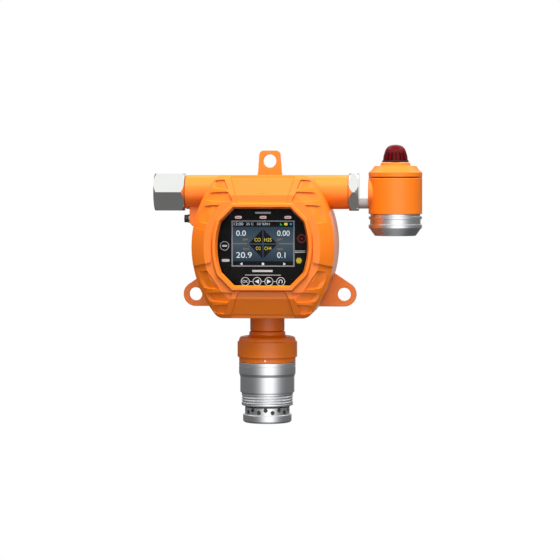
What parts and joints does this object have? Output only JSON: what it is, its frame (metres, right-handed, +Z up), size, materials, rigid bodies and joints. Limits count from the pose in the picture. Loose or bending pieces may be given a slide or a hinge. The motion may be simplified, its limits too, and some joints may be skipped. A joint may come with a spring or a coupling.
{
  "type": "fixed gas detector",
  "caption": "Wall-mounted gas detector: cast housing with screw-on window cover, cable gland, side beacon with sounder, and a sensor head with perforated filter cap below.",
  "frame": {"origin": "centre of the housing's flat back face, which lies on the wall", "axes": "+X to the viewer's right when facing the window, +Y into the wall, +Z up; the front faces -Y"},
  "size_m": [0.2669, 0.106, 0.2781],
  "materials": {
    "orange_powder": "semi-gloss powder coat on cast aluminium",
    "polished_steel": "polished nickel-plated hexagon",
    "turned_aluminium": "fine turned, clear anodised",
    "galvanised_pipe": "dull zinc",
    "dark_screw": "dark plated",
    "black_rubber": "matte",
    "black_panel": "glossy black print",
    "clear_glass": "clear tempered glass",
    "red_lens": "tinted polycarbonate",
    "red_indicator": "milky light pipe",
    "lcd_screen": "lit colour display",
    "grey_trim": "satin",
    "circuit_board": "solder mask",
    "terminal_green": "moulded",
    "relay_case": "moulded",
    "white_plastic": "moulded",
    "sintered_metal": "porous sintered",
    "cell_case": "moulded"
  },
  "bodies": {
    "housing": {"rear_housing": "orange_powder", "face_panel": "black_panel", "lcd_frame": "grey_trim", "lcd_module": "lcd_screen", "display_board": "circuit_board", "indicator_power": "red_indicator", "indicator_fault": "red_indicator", "indicator_alarm": "red_indicator", "board_post_1": "turned_aluminium", "board_post_2": "turned_aluminium", "board_post_3": "turned_aluminium", "board_post_4": "turned_aluminium", "terminal_board": "circuit_board", "power_terminal": "terminal_green", "relay_terminal": "terminal_green", "relay_1": "relay_case", "relay_2": "relay_case", "relay_3": "relay_case", "power_module": "relay_case", "board_ribbon": "white_plastic", "earth_washer": "polished_steel", "earth_spring_washer": "dark_screw", "earth_screw": "dark_screw", "gland_bush": "black_rubber", "conduit_adaptor": "polished_steel", "sensor_adaptor": "orange_powder", "adaptor_set_screw": "white_plastic", "sensor_harness": "black_rubber", "harness_socket": "white_plastic"},
    "cover_seal": {"cover_o_ring": "black_rubber"},
    "cover": {"front_cover": "orange_powder", "window_gasket": "black_rubber", "window_glass": "clear_glass", "window_ring": "black_panel", "cover_lock_screw": "dark_screw"},
    "sensor_seal": {"sensor_o_ring": "black_rubber"},
    "sensor_head": {"sensor_shell": "turned_aluminium", "sensor_board": "circuit_board", "sensor_plug": "white_plastic", "flame_arrestor": "sintered_metal", "gas_cell_1": "cell_case", "gas_cell_2": "cell_case", "gas_cell_3": "cell_case", "gas_cell_4": "cell_case"},
    "filter_seal": {"filter_gasket": "black_rubber"},
    "filter": {"filter_cap": "turned_aluminium", "filter_sleeve": "sintered_metal"},
    "gland_ring": {"gland_washer": "turned_aluminium"},
    "gland": {"gland_nut": "polished_steel"},
    "beacon": {"beacon_pipe": "galvanised_pipe", "beacon_housing": "orange_powder", "beacon_base": "turned_aluminium", "sounder": "black_panel", "led_board": "circuit_board", "led_column": "white_plastic"},
    "beacon_seal": {"beacon_gasket": "black_rubber"},
    "beacon_top": {"beacon_cap": "orange_powder", "lens_gasket": "black_rubber", "beacon_lens": "red_lens"}
  },
  "joints": [
    {"name": "cover_travel", "type": "slide", "parent": "housing", "child": "cover_seal", "axis": [0, -1, 0], "range_m": [0, 0.0121]},
    {"name": "cover_turn", "type": "hinge", "parent": "cover_seal", "child": "cover", "pos_m": [0, -0.083, 0], "axis": [0, -1, 0], "range_deg": [0, 2160]},
    {"name": "sensor_travel", "type": "slide", "parent": "housing", "child": "sensor_seal", "axis": [0, 0, -1], "range_m": [0, 0.0091]},
    {"name": "sensor_turn", "type": "hinge", "parent": "sensor_seal", "child": "sensor_head", "pos_m": [0, -0.038, -0.13], "axis": [0, 0, -1], "range_deg": [0, 2160]},
    {"name": "filter_travel", "type": "slide", "parent": "sensor_head", "child": "filter_seal", "axis": [0, 0, -1], "range_m": [0, 0.0061]},
    {"name": "filter_turn", "type": "hinge", "parent": "filter_seal", "child": "filter", "pos_m": [0, -0.038, -0.168], "axis": [0, 0, -1], "range_deg": [0, 2160]},
    {"name": "gland_travel", "type": "slide", "parent": "housing", "child": "gland_ring", "axis": [-1, 0, 0], "range_m": [0, 0.0073]},
    {"name": "gland_turn", "type": "hinge", "parent": "gland_ring", "child": "gland", "pos_m": [-0.095, -0.038, 0.0532], "axis": [-1, 0, 0], "range_deg": [0, 1440]},
    {"name": "beacon_swivel", "type": "hinge", "parent": "housing", "child": "beacon", "pos_m": [0.09, -0.038, 0.0418], "axis": [1, 0, 0], "range_deg": [-20, 90]},
    {"name": "lens_cap_travel", "type": "slide", "parent": "beacon", "child": "beacon_seal", "axis": [0, 0, 1], "range_m": [0, 0.0053]},
    {"name": "lens_cap_turn", "type": "hinge", "parent": "beacon_seal", "child": "beacon_top", "pos_m": [0.1278, -0.038, 0.075], "axis": [0, 0, 1], "range_deg": [0, 1260]}
  ],
  "couplings": [
    {"joint": "cover_travel", "follows": "cover_turn", "m_per_rad": 0.00031831},
    {"joint": "sensor_travel", "follows": "sensor_turn", "m_per_rad": 0.00023873},
    {"joint": "filter_travel", "follows": "filter_turn", "m_per_rad": 0.00015915},
    {"joint": "gland_travel", "follows": "gland_turn", "m_per_rad": 0.00028871},
    {"joint": "lens_cap_travel", "follows": "lens_cap_turn", "m_per_rad": 0.00023873}
  ]
}
